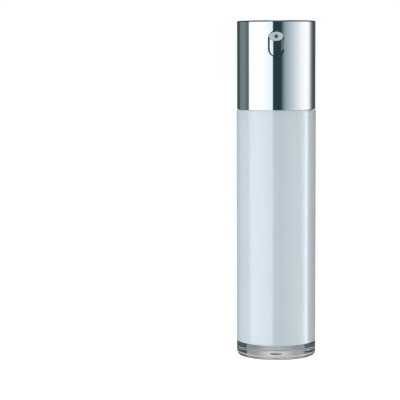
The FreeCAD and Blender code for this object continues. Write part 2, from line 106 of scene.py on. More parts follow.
class BottleSizes(bpy.types.PropertyGroup):
    """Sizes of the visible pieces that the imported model's boxes don't give"""

    clear_wall: length("Clear wall", "Thickness of the clear outer wall", 1.8)
    nest_gap: length("Nest gap", "Gap that the packed model leaves between the two walls", 0.05)
    wall_contact: length("Wall contact", "How far the clear wall reaches into the white one", 0.05)
    base_height: length("Base height", "Height of the heavy base ring", 6.0)
    base_ring: length("Base ring", "Width of the heavy base ring", 4.4)
    base_floor: length("Base floor", "Height of the clear base's upper face under the white bottle", 5.7)
    foot_recess: length("Foot recess", "How far the underside stands above the resting ring", 0.9)
    foot_radius: length("Foot radius", "Inner radius of the resting ring", 13.0)
    base_corner: length("Base corner", "Rounding of the base's outer edge", 1.5)
    gate_radius: length("Gate radius", "Radius of the moulding dimple under the base", 1.7)
    gate_depth: length("Gate depth", "Depth of the moulding dimple under the base", 0.3)
    vent_radius: length("Vent radius", "Radius of the air hole under the base", 0.35)
    vent_depth: length("Vent depth", "Depth of the air hole above the dimple", 0.25)
    white_bore: length("White bore", "Inner radius of the white bottle", 13.6)
    white_floor: length("White floor", "Thickness of the white bottle's floor", 1.3)
    white_vent: length("White vent", "Radius of the air hole in the white bottle's floor", 0.75)
    neck_radius: length("Neck radius", "Radius of the white bottle's neck", 14.4)
    neck_bead: length("Neck bead", "Height of the neck's snap bead above the flange", 1.9)
    shell_wall: length("Shell wall", "Thickness of the mirror-bright shell", 0.9)
    shell_step: length("Shell step", "How far the shell's face stands inside the packed model's", 0.1)
    shell_rim: length("Shell rim", "Rounding of the shell's upper outer edge", 0.6)
    slot_width: length("Slot width", "Width of the nozzle's slot", 6.2)
    slot_length: length("Slot length", "Height of the nozzle's slot", 10.37)
    slot_below_top: length("Slot below top", "From the shell's rim to the slot's upper end", 4.48)
    slot_edge: length("Slot edge", "Rounding of the slot's outer edge", 0.3)
    groove_rise: length("Groove rise", "Height of the shell's snap groove above its seat", 3.1)
    key_rise: length("Key rise", "Height of the shell's keyway above its seat", 2.65)
    button_wall: length("Button wall", "Thickness of the button's skirt", 1.0)
    button_plate: length("Button plate", "Thickness of the button's top", 1.2)
    button_edge: length("Button edge", "Rounding of the button's upper edge", 0.4)
    skirt_relief: length("Skirt relief", "How far the skirt stands back from the button's rim", 0.4)
    nozzle_tall: length("Nozzle height", "Height of the nozzle's oval face", 3.8)
    nozzle_lift: length("Nozzle lift", "How far the nozzle's middle stands above the packed model's", 0.12)
    nozzle_edge: length("Nozzle edge", "Rounding of the nozzle's face", 0.3)
    nozzle_head: length("Nozzle head", "Length of the nozzle's oval part", 4.9)
    spigot_radius: length("Spigot radius", "Radius of the nozzle's round plug", 1.9)
    orifice_radius: length("Orifice radius", "Radius of the hole that product leaves by", 0.85)
    orifice_depth: length("Orifice depth", "Depth at which that hole narrows to the duct", 3.0)
    duct_radius: length("Duct radius", "Radius of the duct behind the hole", 0.3)
    wire_radius: length("Wire radius", "Radius of the spring's wire", 0.5)
    end_pitch: length("End pitch", "Rise of the spring's end turns", 1.55)
    around: IntProperty(
        name="Steps around", description="Steps of every round wall", default=192, min=48, max=384,
    )


class BottleColours(bpy.types.PropertyGroup):
    """Colours of the finishes"""

    clear: colour("Clear plastic", "Tint of the clear outer bottle", (0.965, 0.985, 0.99))
    white: colour("White plastic", "Colour of the white inner bottle", (0.82, 0.895, 0.95))
    mirror: colour("Mirror coat", "Colour of the bright metal coat", (0.86, 0.9, 0.915))
    nozzle: colour("Nozzle plastic", "Colour of the oval nozzle", (0.73, 0.855, 0.855))
    natural: colour("Natural plastic", "Colour of the uncoloured pump parts", (0.78, 0.8, 0.78))
    soft: colour("Soft plastic", "Colour of the sealing lips and the follower", (0.72, 0.78, 0.82))
    rubber: colour("Gasket rubber", "Colour of the neck gasket", (0.62, 0.62, 0.6))
    steel: colour("Spring steel", "Colour of the spring and the ball", (0.56, 0.57, 0.59))
    floor: colour("Floor", "Colour of the pale studio floor", (0.93, 0.94, 0.945))


# Node groups shared by several finishes

def new_group(name, inputs, outputs):
    """An empty shader group with named sockets, and its two end nodes."""
    group = bpy.data.node_groups.new(name, "ShaderNodeTree")
    for socket_name, kind, default in inputs:
        socket = group.interface.new_socket(name=socket_name, in_out="INPUT", socket_type=kind)
        if default is not None:
            socket.default_value = default
    for socket_name, kind in outputs:
        group.interface.new_socket(name=socket_name, in_out="OUTPUT", socket_type=kind)
    start = group.nodes.new("NodeGroupInput")
    end = group.nodes.new("NodeGroupOutput")
    return group, start, end


def noise(tree, vector, scale, detail, roughness):
    """A noise texture on a vector; the scale is a number or a socket."""
    texture = tree.nodes.new("ShaderNodeTexNoise")
    texture.inputs["Detail"].default_value = detail
    texture.inputs["Roughness"].default_value = roughness
    tree.links.new(vector, texture.inputs["Vector"])
    if isinstance(scale, float):
        texture.inputs["Scale"].default_value = scale
    else:
        tree.links.new(scale, texture.inputs["Scale"])
    return texture.outputs["Fac"]


def spread(tree, value, low, high, to_low=0.0, to_high=1.0):
    """Maps a value from one range to another, with plain numbers or sockets as the ends."""
    node = tree.nodes.new("ShaderNodeMapRange")
    tree.links.new(value, node.inputs["Value"])
    ends = {"From Min": low, "From Max": high, "To Min": to_low, "To Max": to_high}
    for name, end in ends.items():
        if isinstance(end, (int, float)):
            node.inputs[name].default_value = end
        else:
            tree.links.new(end, node.inputs[name])
    return node.outputs["Result"]


def tint_group():
    """Slow drift between two near colours, as moulded plastic and coats have."""
    group, start, end = new_group(
        "Tint drift",
        [("Vector", "NodeSocketVector", None), ("Scale", "NodeSocketFloat", 90.0),
         ("Colour", "NodeSocketColor", None), ("Drift", "NodeSocketFloat", 0.03)],
        [("Colour", "NodeSocketColor")],
    )
    cloud = noise(group, start.outputs["Vector"], start.outputs["Scale"], 3.0, 0.5)
    amount = spread(group, cloud, 0.3, 0.7, 0.0, start.outputs["Drift"])
    mix = group.nodes.new("ShaderNodeMix")
    mix.data_type = "RGBA"
    mix.blend_type = "MULTIPLY"
    mix.inputs["B"].default_value = (0.55, 0.58, 0.6, 1.0)
    group.links.new(amount, mix.inputs["Factor"])
    group.links.new(start.outputs["Colour"], mix.inputs["A"])
    group.links.new(mix.outputs["Result"], end.inputs["Colour"])
    return group


def grain_group():
    """Fine grain of a moulded or coated face: a height and a roughness that vary together."""
    group, start, end = new_group(
        "Fine grain",
        [("Vector", "NodeSocketVector", None), ("Scale", "NodeSocketFloat", 2500.0),
         ("Smooth", "NodeSocketFloat", 0.2), ("Rough", "NodeSocketFloat", 0.3)],
        [("Height", "NodeSocketFloat"), ("Roughness", "NodeSocketFloat")],
    )
    fine = noise(group, start.outputs["Vector"], start.outputs["Scale"], 4.0, 0.6)
    group.links.new(fine, end.inputs["Height"])
    rough = spread(group, fine, 0.35, 0.65, start.outputs["Smooth"], start.outputs["Rough"])
    group.links.new(rough, end.inputs["Roughness"])
    return group


def dust_group():
    """Sparse dust specks: a mask that is zero nearly everywhere."""
    group, start, end = new_group(
        "Settled dust",
        [("Vector", "NodeSocketVector", None), ("Scale", "NodeSocketFloat", 4000.0),
         ("Cover", "NodeSocketFloat", 0.72), ("Amount", "NodeSocketFloat", 0.1)],
        [("Mask", "NodeSocketFloat")],
    )
    specks = noise(group, start.outputs["Vector"], start.outputs["Scale"], 2.0, 0.5)
    mask = spread(group, specks, start.outputs["Cover"], 0.85, 0.0, start.outputs["Amount"])
    group.links.new(mask, end.inputs["Mask"])
    return group


def place_group(tree, group, vector, **values):
    """Places a shared group in a material with its own values."""
    node = tree.nodes.new("ShaderNodeGroup")
    node.node_tree = group
    tree.links.new(vector, node.inputs["Vector"])
    for name, value in values.items():
        node.inputs[name].default_value = value
    return node


def blank_finish(name):
    """A material and its shader."""
    material = bpy.data.materials.new(name)
    material.use_nodes = True
    return material, material.node_tree.nodes["Principled BSDF"]


def finish(name, groups, tint, drift, drift_scale, smooth, rough, grain_scale, bump, dust=0.0):
    """A moulded finish: drifting tint, fine grain in the roughness, a slight bump and perhaps dust."""
    material, shader = blank_finish(name)
    tree = material.node_tree
    vector = tree.nodes.new("ShaderNodeTexCoord").outputs["Object"]
    shade = place_group(tree, groups["tint"], vector, Scale=drift_scale, Colour=(*tint, 1.0), Drift=drift)
    grain = place_group(tree, groups["grain"], vector, Scale=grain_scale, Smooth=smooth, Rough=rough)
    relief = tree.nodes.new("ShaderNodeBump")
    relief.inputs["Strength"].default_value = bump
    relief.inputs["Distance"].default_value = 0.02 * MM
    tree.links.new(grain.outputs["Height"], relief.inputs["Height"])
    tree.links.new(shade.outputs["Colour"], shader.inputs["Base Color"])
    tree.links.new(relief.outputs["Normal"], shader.inputs["Normal"])
    roughness = grain.outputs["Roughness"]
    if dust:
        specks = place_group(tree, groups["dust"], vector, Amount=dust)
        add = tree.nodes.new("ShaderNodeMath")
        add.operation = "ADD"
        tree.links.new(roughness, add.inputs[0])
        tree.links.new(specks.outputs["Mask"], add.inputs[1])
        roughness = add.outputs["Value"]
    tree.links.new(roughness, shader.inputs["Roughness"])
    return tree, shader


def toned_by(tree, shader, attribute, tone):
    """Takes the base colour to another tone where a face attribute says so."""
    marked = tree.nodes.new("ShaderNodeAttribute")
    marked.attribute_name = attribute
    mix = tree.nodes.new("ShaderNodeMix")
    mix.data_type = "RGBA"
    mix.inputs["B"].default_value = (*tone, 1.0)
    tree.links.new(marked.outputs["Fac"], mix.inputs["Factor"])
    tree.links.new(shader.inputs["Base Color"].links[0].from_socket, mix.inputs["A"])
    tree.links.new(mix.outputs["Result"], shader.inputs["Base Color"])


FINISH_NAMES = {
    "clear_plastic": "Clear plastic", "white_plastic": "White plastic",
    "mirror_plastic": "Mirror coat", "nozzle_plastic": "Nozzle plastic",
    "natural_plastic": "Natural plastic", "soft_plastic": "Soft plastic",
    "gasket_rubber": "Gasket rubber", "spring_steel": "Spring steel",
}


def make_finishes(colours):
    """Every finish of the bottle."""
    groups = {"tint": tint_group(), "grain": grain_group(), "dust": dust_group()}

    def made(slot, tint, *values, **extra):
        return finish(FINISH_NAMES[slot], groups, tint, *values, **extra)

    # Tint, drift and its scale, least and most roughness, grain's scale, bump
    tree, shader = made("clear_plastic", colours.clear, 0.02, 60.0, 0.0, 0.015, 1500.0, 0.02, dust=0.05)
    shader.inputs["Transmission Weight"].default_value = 1.0
    shader.inputs["IOR"].default_value = 1.5
    toned_by(tree, shader, "gate", (0.3, 0.33, 0.34))

    tree, shader = made("white_plastic", colours.white, 0.03, 45.0, 0.1, 0.15, 3000.0, 0.03)
    shader.inputs["IOR"].default_value = 1.5
    shader.inputs["Coat Weight"].default_value = 1.0
    shader.inputs["Coat Roughness"].default_value = 0.03
    shader.inputs["Coat IOR"].default_value = 1.7

    tree, shader = made("mirror_plastic", colours.mirror, 0.02, 70.0, 0.02, 0.045, 1200.0, 0.01, dust=0.04)
    shader.inputs["Metallic"].default_value = 1.0
    # Slot lining and edge darkened: partly a thinner coat, partly painted shade; the edge's left half is
    # darkest
    toned_by(tree, shader, "lining", (0.12, 0.145, 0.15))

    made("nozzle_plastic", colours.nozzle, 0.04, 200.0, 0.4, 0.5, 1500.0, 0.01, dust=0.08)

    tree, shader = made("natural_plastic", colours.natural, 0.05, 200.0, 0.38, 0.52, 4000.0, 0.2)
    shader.inputs["Subsurface Weight"].default_value = 0.1
    shader.inputs["Subsurface Scale"].default_value = 1.0 * MM

    made("soft_plastic", colours.soft, 0.06, 160.0, 0.5, 0.65, 3500.0, 0.25)
    made("gasket_rubber", colours.rubber, 0.1, 250.0, 0.62, 0.8, 3000.0, 0.4)

    tree, shader = made("spring_steel", colours.steel, 0.12, 500.0, 0.14, 0.3, 4500.0, 0.1)
    shader.inputs["Metallic"].default_value = 1.0


def finish_of(slot):
    """The finish of a slot, made with all the others the first time that one is asked for."""
    name = FINISH_NAMES[slot]
    if name not in bpy.data.materials:
        make_finishes(bpy.context.scene.pump_bottle_colours)
    return bpy.data.materials[name]


# Shaping

def guards(here, there, own, other):
    """A point on the run towards a neighbour that keeps the shading of the run flat."""
    run = there - here
    reach = own * 1.6
    if own == 0 or run.length < reach + other * 1.6 + own:
        return []
    return [here + run.normalized() * reach]


def turned(corners, steps, segments=5):
    """Spins an outline of (radius, height, rounding) corners about the bottle's axis."""
    bm = bmesh.new()
    points = [Vector((radius, 0, height)) for radius, height, _ in corners]
    roundings = [rounding for _, _, rounding in corners]
    outline, round_corners = [], {}
    for i, here in enumerate(points):
        after = (i + 1) % len(points)
        for place in guards(here, points[i - 1], roundings[i], roundings[i - 1]):
            outline.append(bm.verts.new(place))
        corner = bm.verts.new(here)
        outline.append(corner)
        if roundings[i]:
            round_corners.setdefault(roundings[i], []).append(corner)
        for place in guards(here, points[after], roundings[i], roundings[after]):
            outline.append(bm.verts.new(place))
    bm.faces.new(outline)
    for rounding, found in round_corners.items():
        bmesh.ops.bevel(
            bm, geom=found, offset=rounding, offset_type="OFFSET", affect="VERTICES",
            segments=segments, profile=0.5, material=-1, clamp_overlap=False,
        )
    bmesh.ops.delete(bm, geom=bm.faces[:], context="FACES_ONLY")
    on_axis = [edge for edge in bm.edges if all(vert.co.x < POLE_MERGE for vert in edge.verts)]
    bmesh.ops.delete(bm, geom=on_axis, context="EDGES")
    bmesh.ops.spin(
        bm, geom=bm.verts[:] + bm.edges[:], cent=(0, 0, 0), axis=(0, 0, 1), dvec=(0, 0, 0),
        angle=FULL_TURN, steps=steps, use_merge=True, use_duplicate=False,
    )
    bmesh.ops.remove_doubles(bm, verts=bm.verts[:], dist=POLE_MERGE)
    bmesh.ops.recalc_face_normals(bm, faces=bm.faces[:])
    return bm


def radius_of(point):
    """Distance off the bottle's axis."""
    return math.hypot(point.x, point.y)


def all_at(item, radius):
    """Whether every corner of a face or an edge lies on a round wall."""
    return all(abs(radius_of(vert.co) - radius) < ON_WALL for vert in item.verts)


def stadium(bm, radius, half_width, low, high, arc_steps, side_steps):
    """Upright stadium loop on the front of a round wall, spun and extruded from one point."""
    start = bm.verts.new((-half_width, 0, low + half_width))
    arc = bmesh.ops.spin(
        bm, geom=[start], cent=(0, 0, low + half_width), axis=(0, -1, 0), dvec=(0, 0, 0),
        angle=math.pi, steps=arc_steps, use_merge=False, use_duplicate=False,
    )
    tip = arc["geom_last"][0]
    rise = (high - low - half_width * 2) / side_steps
    for _ in range(side_steps):
        new = bmesh.ops.extrude_vert_indiv(bm, verts=[tip])["verts"]
        bmesh.ops.translate(bm, verts=new, vec=(0, 0, rise))
        tip = new[0]
    arc = bmesh.ops.spin(
        bm, geom=[tip], cent=(0, 0, high - half_width), axis=(0, -1, 0), dvec=(0, 0, 0),
        angle=math.pi, steps=arc_steps, use_merge=False, use_duplicate=False,
    )
    tip = arc["geom_last"][0]
    for _ in range(side_steps):
        new = bmesh.ops.extrude_vert_indiv(bm, verts=[tip])["verts"]
        bmesh.ops.translate(bm, verts=new, vec=(0, 0, -rise))
        tip = new[0]
    loop = connected(start)
    bmesh.ops.remove_doubles(bm, verts=loop, dist=LOOP_MERGE)
    loop = connected(next(vert for vert in loop if vert.is_valid))
    on_wall(loop, radius)
    return loop


def oval(bm, radius, half_width, half_height, centre, count):
    """Oval loop on the front of a round wall."""
    made = bmesh.ops.create_circle(
        bm, cap_ends=False, radius=1.0, segments=count, matrix=Matrix.Rotation(math.pi / 2, 4, "X"))
    loop = made["verts"]
    bmesh.ops.scale(bm, verts=loop, vec=(half_width, 1.0, half_height))
    bmesh.ops.translate(bm, verts=loop, vec=(0, 0, centre))
    on_wall(loop, radius)
    return loop


def connected(start):
    """Every corner that edges join to the first, in the order in which they are found."""
    found, rim = {start: None}, [start]
    while rim:
        vert = rim.pop()
        for edge in vert.link_edges:
            other = edge.other_vert(vert)
            if other not in found:
                found[other] = None
                rim.append(other)
    return list(found)


def on_wall(verts, radius):
    """Slides corners level towards the front, on to a round wall."""
    for vert in verts:
        vert.co.y = -math.sqrt(radius * radius - vert.co.x * vert.co.x)


def open_window(bm, radius, half_angle, low, high):
    """Takes a block of faces out of the front of a round wall."""
    gone = []
    for face in bm.faces:
        centre = face.calc_center_median()
        in_front = centre.y < 0 and abs(math.atan2(centre.x, -centre.y)) < half_angle
        if in_front and low < centre.z < high and all_at(face, radius):
            gone.append(face)
    if not gone:
        raise RuntimeError("no faces of the wall lie in the window")
    bmesh.ops.delete(bm, geom=gone, context="FACES")
    return rim_of(bm, radius)


def rim_of(bm, radius):
    """The open edges of a round wall."""
    return [edge for edge in bm.edges if edge.is_boundary and all_at(edge, radius)]


def edges_of(verts):
    """The edges that join the corners of a loop, each once and in the corners' order."""
    chosen = set(verts)
    return list(dict.fromkeys(
        edge for vert in verts for edge in vert.link_edges if edge.other_vert(vert) in chosen))


def fill_wall(bm, window, loop, radius, cuts):
    """Fills the wall between a window and the loop inside it, in several rings."""
    joined = bmesh.ops.bridge_loops(bm, edges=window + edges_of(loop))
    divided = bmesh.ops.subdivide_edges(bm, edges=joined["edges"], cuts=cuts, use_grid_fill=True)
    fresh = [item for item in divided["geom_inner"] if isinstance(item, bmesh.types.BMVert)]
    on_wall(fresh, radius)


def pierce(bm, walls, half_angle, low, high, make_loop, cuts):
    """Opens the same hole through the outer and the inner wall and lines it."""
    for wall in walls:
        window = open_window(bm, wall, half_angle, low, high)
        fill_wall(bm, window, make_loop(wall, len(window)), wall, cuts)
    rims = [edge for wall in walls for edge in rim_of(bm, wall)]
    for edge in rims:
        edge.smooth = False
    return bmesh.ops.bridge_loops(bm, edges=rims)["faces"]


def shade_walls(mesh, radii):
    """Gives the round walls their own true directions, so that reflections run straight."""
    directions = [Vector((0, 0, 0))] * len(mesh.loops)
    smooth_corner = {}
    sharp = {vert for edge in mesh.edges if edge.use_edge_sharp for vert in edge.vertices}
    for face in mesh.polygons:
        places = [mesh.vertices[i].co for i in face.vertices]
        for radius, way in zip(radii, (1, -1)):
            if all(abs(radius_of(place) - radius) < ON_WALL for place in places):
                for loop, place in zip(face.loop_indices, places):
                    away = Vector((place.x, place.y, 0)).normalized() * way
                    directions[loop] = away
                    vert = mesh.loops[loop].vertex_index
                    if vert not in sharp:
                        smooth_corner[vert] = away
    for loop in mesh.loops:
        if loop.vertex_index in smooth_corner:
            directions[loop.index] = smooth_corner[loop.vertex_index]
    mesh.normals_split_custom_set(directions)


def finished(bm, name, body, slot, *nodes):
    """Turns a shaped bmesh into a named piece that rides on its body in place of its nodes."""
    mesh = bpy.data.meshes.new(name)
    for face in bm.faces:
        face.smooth = True
    bm.to_mesh(mesh)
    bm.free()
    piece = bpy.data.objects.new(name, mesh)
    bpy.context.scene.collection.objects.link(piece)
    mesh.materials.append(finish_of(slot))
    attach(piece, body)
    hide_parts(*nodes)
    return piece


class PieceOperator:
    """What every operator of the bottle shares."""

    bl_options = {"REGISTER", "UNDO"}

    def execute(self, context):
        self.build(context.scene.pump_bottle_sizes)
        return {"FINISHED"}


class PUMPBOTTLE_OT_clear_bottle(PieceOperator, bpy.types.Operator):
    """Clear outer bottle with its heavy base"""

    bl_idname = "pump_bottle.clear_bottle"
    bl_label = "Clear outer bottle"

    def build(self, sizes):
        radius, top = CLEAR_HIGH.x, CLEAR_HIGH.z
        bore = radius - sizes.clear_wall - sizes.nest_gap - sizes.wall_contact
        ring = radius - sizes.base_ring
        seat = sizes.base_height + sizes.wall_contact
        recess = sizes.foot_recess
        dimple = recess + sizes.gate_depth
        vent = dimple + sizes.vent_depth
        bm = turned([
            (0.0, vent, 0.0),
            (sizes.vent_radius, vent, 0.0),
            (sizes.vent_radius, dimple, 0.0),
            (sizes.gate_radius, dimple, FINE_EDGE),
            (sizes.gate_radius, recess, FINE_EDGE),
            (sizes.foot_radius, recess, 0.12 * MM),
            (sizes.foot_radius, 0.0, SOFT_EDGE),
            (radius, 0.0, sizes.base_corner),
            (radius, top, 0.3 * MM),
            (bore, top, 0.3 * MM),
            (bore, seat, 0.04 * MM),
            (ring, seat, SMALL_EDGE),
            (ring, sizes.base_floor, SMALL_EDGE),
            (0.0, sizes.base_floor, 0.0),
        ], sizes.around, segments=6)
        gate = bm.faces.layers.float.new("gate")
        for face in bm.faces:
            centre = face.calc_center_median()
            if radius_of(centre) < sizes.gate_radius + FINE_EDGE and centre.z < vent + FINE_EDGE:
                face[gate] = 1.0
        finished(bm, "clear_bottle", "bottle", "clear_plastic", "outer_bottle")


class PUMPBOTTLE_OT_white_bottle(PieceOperator, bpy.types.Operator):
    """White inner bottle with its vented floor, flange and snap-bead neck"""

    bl_idname = "pump_bottle.white_bottle"
    bl_label = "White inner bottle"

    def build(self, sizes):
        base, top = WHITE_LOW.z, WHITE_HIGH.z
        radius = CLEAR_HIGH.x - sizes.clear_wall - sizes.nest_gap
        flange = WHITE_HIGH.x
        neck = sizes.neck_radius
        flange_low = CLEAR_HIGH.z + 0.2 * MM
        flange_high = SHOULDER_LOW.z
        bead = flange_high + sizes.neck_bead
        bead_radius = neck + SNAP_REACH
        floor = base + sizes.white_floor
        vent = sizes.white_vent
        bm = turned([
            (vent, base, SMALL_EDGE),
            (radius, base, 0.35 * MM),
            (radius, flange_low, SMALL_EDGE),
            (flange, flange_low, 0.12 * MM),
            (flange, flange_high, 0.12 * MM),
            (neck, flange_high, SMALL_EDGE),
            (neck, bead, 0.08 * MM),
            (bead_radius, bead + SNAP_REACH, 0.08 * MM),
            (bead_radius, bead + SNAP_HEIGHT - SNAP_REACH, 0.08 * MM),
            (neck, bead + SNAP_HEIGHT, 0.08 * MM),
            (neck, top, 0.2 * MM),
            (sizes.white_bore, top, 0.2 * MM),
            (sizes.white_bore, floor, 0.8 * MM),
            (vent, floor, SMALL_EDGE),
        ], sizes.around)
        finished(bm, "white_bottle", "bottle", "white_plastic", "inner_bottle")


class PUMPBOTTLE_OT_mirror_shell(PieceOperator, bpy.types.Operator):
    """Fixed mirror-bright shell with the nozzle's slot, snap groove and keyway"""

    bl_idname = "pump_bottle.mirror_shell"
    bl_label = "Mirror-bright shell"

    def build(self, sizes):
        radius = SHELL_HIGH.x - sizes.shell_step
        bore = radius - sizes.shell_wall
        low, high = SHELL_LOW.z - sizes.shell_step, SHELL_HIGH.z
        slot_high = high - sizes.slot_below_top
        slot_low = slot_high - sizes.slot_length
        margin = 2.1 * MM
        rows = 14
        window_low, window_high = slot_low - margin, slot_high + margin
        step = (window_high - window_low) / rows
        heights = [window_low + step * i for i in range(rows + 1)]
        groove = SHOULDER_LOW.z + sizes.groove_rise
        groove_radius = bore + SNAP_REACH
        bm = turned([
            (radius, low, SOFT_EDGE),
            *[(radius, height, 0.0) for height in heights],
            (radius, high, sizes.shell_rim),
            (bore, high, SOFT_EDGE),
            *[(bore, height, 0.0) for height in reversed(heights)],
            (bore, groove + SNAP_HEIGHT, FINE_EDGE),
            (groove_radius, groove + SNAP_HEIGHT - SNAP_REACH, FINE_EDGE),
            (groove_radius, groove + SNAP_REACH, FINE_EDGE),
            (bore, groove, FINE_EDGE),
            (bore, SHOULDER_LOW.z + sizes.key_rise, 0.0),
            (bore, low, SOFT_EDGE),
        ], sizes.around)
        # Marks where the mirror coat is darkened: the slot's lining for a thinner coat plus painted shade,
        # its rounded edge for painted shade
        thin_coat_and_shade = bm.faces.layers.float.new("lining")
        columns = 10

        def slot_loop(wall, count):
            side_steps = rows - 4
            return stadium(
                bm, wall, sizes.slot_width / 2, slot_low, slot_high, count // 2 - side_steps, side_steps)

        lining = pierce(
            bm, (radius, bore), FULL_TURN / sizes.around * columns, window_low, window_high, slot_loop, 4)
        for face in lining:
            face[thin_coat_and_shade] = 1.0
        outer_edges = [
            edge for edge in dict.fromkeys(edge for face in lining for edge in face.edges)
            if all_at(edge, radius)
        ]
        rounded = bmesh.ops.bevel(
            bm, geom=outer_edges, offset=sizes.slot_edge, offset_type="OFFSET", affect="EDGES",
            segments=4, profile=0.5, material=-1, clamp_overlap=True,
        )
        # Painted shade: the left half of the rounded slot edge is fully dark, the right half lighter, as
        # light falls from the right
        for face in rounded["faces"]:
            in_shade = face.calc_center_median().x < 0
            face[thin_coat_and_shade] = 1.0 if in_shade else 0.6
        bmesh.ops.recalc_face_normals(bm, faces=bm.faces[:])
        piece = finished(bm, "mirror_shell", "bottle", "mirror_plastic", "head_shell")
        shade_walls(piece.data, (radius, bore))


class PUMPBOTTLE_OT_push_button(PieceOperator, bpy.types.Operator):
    """Push button, whose skirt fills the slot behind the nozzle"""

    bl_idname = "pump_bottle.push_button"
    bl_label = "Push button"

    def build(self, sizes):
        radius, bore = BUTTON_HIGH.x, BUTTON_HIGH.x - sizes.button_wall
        skirt = radius - sizes.skirt_relief
        low, high = BUTTON_LOW.z, BUTTON_HIGH.z
        ceiling = high - sizes.button_plate
        centre = (NOZZLE_LOW.z + NOZZLE_HIGH.z) / 2 + sizes.nozzle_lift
        half_width = (NOZZLE_HIGH.x - NOZZLE_LOW.x) / 2 + WINDOW_GAP
        half_height = sizes.nozzle_tall / 2 + WINDOW_GAP
        margin = 1.6 * MM
        rows = 8
        window_low, window_high = centre - half_height - margin, centre + half_height + margin
        step = (window_high - window_low) / rows
        heights = [window_low + step * i for i in range(rows + 1)]
        bm = turned([
            (0.0, ceiling, 0.0),
            (bore, ceiling, 0.2 * MM),
            *[(bore, height, 0.0) for height in reversed(heights)],
            (bore, low, SMALL_EDGE),
            (skirt, low, SMALL_EDGE),
            *[(skirt, height, 0.0) for height in heights],
            (skirt, high - 0.9 * MM, SMALL_EDGE),
            (radius, high - 0.8 * MM, FINE_EDGE),
            (radius, high, sizes.button_edge),
            (0.0, high, 0.0),
        ], sizes.around)
        columns = 9

        def window_loop(wall, count):
            return oval(bm, wall, half_width, half_height, centre, count)

        pierce(
            bm, (skirt, bore), FULL_TURN / sizes.around * columns, window_low, window_high, window_loop, 3)
        bmesh.ops.recalc_face_normals(bm, faces=bm.faces[:])
        piece = finished(bm, "push_button", "push_head", "mirror_plastic", "actuator_cap")
        shade_walls(piece.data, (skirt, bore))


class PUMPBOTTLE_OT_nozzle(PieceOperator, bpy.types.Operator):
    """Oval nozzle with its orifice and the round plug behind it"""

    bl_idname = "pump_bottle.nozzle"
    bl_label = "Oval nozzle"

    def build(self, sizes):
        centre = (NOZZLE_LOW.z + NOZZLE_HIGH.z) / 2 + sizes.nozzle_lift
        wide = (NOZZLE_HIGH.x - NOZZLE_LOW.x) / 2
        tall = sizes.nozzle_tall / 2
        tip, end = NOZZLE_LOW.y, NOZZLE_HIGH.y
        shoulder = tip + sizes.nozzle_head
        edge, hole, plug = sizes.nozzle_edge, sizes.orifice_radius, sizes.spigot_radius
        lip = 0.12 * MM
        bm = bmesh.new()
        made = bmesh.ops.create_circle(
            bm, cap_ends=False, radius=1.0, segments=96, matrix=Matrix.Rotation(math.pi / 2, 4, "X"))
        first = made["verts"]
        bmesh.ops.translate(bm, verts=first, vec=(0, 0, centre))
        duct, narrow = sizes.duct_radius, tip + sizes.orifice_depth
        stations = [
            (duct, duct, end), (duct, duct, narrow), (hole - 0.02 * MM, hole - 0.02 * MM, narrow),
            (hole, hole, narrow - FINE_EDGE), (hole, hole, tip + lip * 1.8), (hole, hole, tip + lip),
        ]
        for i in range(1, 5):
            turn = math.pi / 2 * i / 4
            grown = hole + lip * (1 - math.cos(turn))
            stations.append((grown, grown, tip + lip * (1 - math.sin(turn))))
        stations.append((hole + lip * 1.6, hole + lip * 1.6, tip))
        stations.append((wide - edge * 1.25, tall - edge * 1.25, tip))
        for i in range(7):
            turn = math.pi / 2 * i / 6
            kept = edge * (1 - math.sin(turn))
            stations.append((wide - kept, tall - kept, tip + edge * (1 - math.cos(turn))))
        stations += [
            (wide, tall, tip + edge * 1.5), (wide, tall, shoulder - 0.2 * MM),
            (wide, tall, shoulder), (wide - FINE_EDGE, tall - FINE_EDGE, shoulder),
            (plug + FINE_EDGE, plug + FINE_EDGE, shoulder), (plug, plug, shoulder),
            (plug, plug, shoulder + 0.2 * MM), (plug, plug, end - 0.2 * MM),
            (plug, plug, end), (plug - SMALL_EDGE, plug - SMALL_EDGE, end),
        ]
        ring, size = first, (1.0, 1.0, 0.0)
        for i, station in enumerate(stations):
            if i:
                made = bmesh.ops.extrude_edge_only(bm, edges=edges_of(ring))
                ring = [item for item in made["geom"] if isinstance(item, bmesh.types.BMVert)]
            resize(bm, ring, size, station, centre)
            size = station
        bmesh.ops.bridge_loops(bm, edges=edges_of(ring) + edges_of(first))
        bmesh.ops.recalc_face_normals(bm, faces=bm.faces[:])
        finished(bm, "nozzle", "push_head", "nozzle_plastic", "nozzle_insert")


def resize(bm, ring, before, after, centre):
    """Takes an upright ring from one half width, half height and distance to the next."""
    about = Matrix.Translation((0, 0, -centre))
    factors = (after[0] / before[0], 1.0, after[1] / before[1])
    bmesh.ops.scale(bm, verts=ring, vec=factors, space=about)
    bmesh.ops.translate(bm, verts=ring, vec=(0, after[2] - before[2], 0))


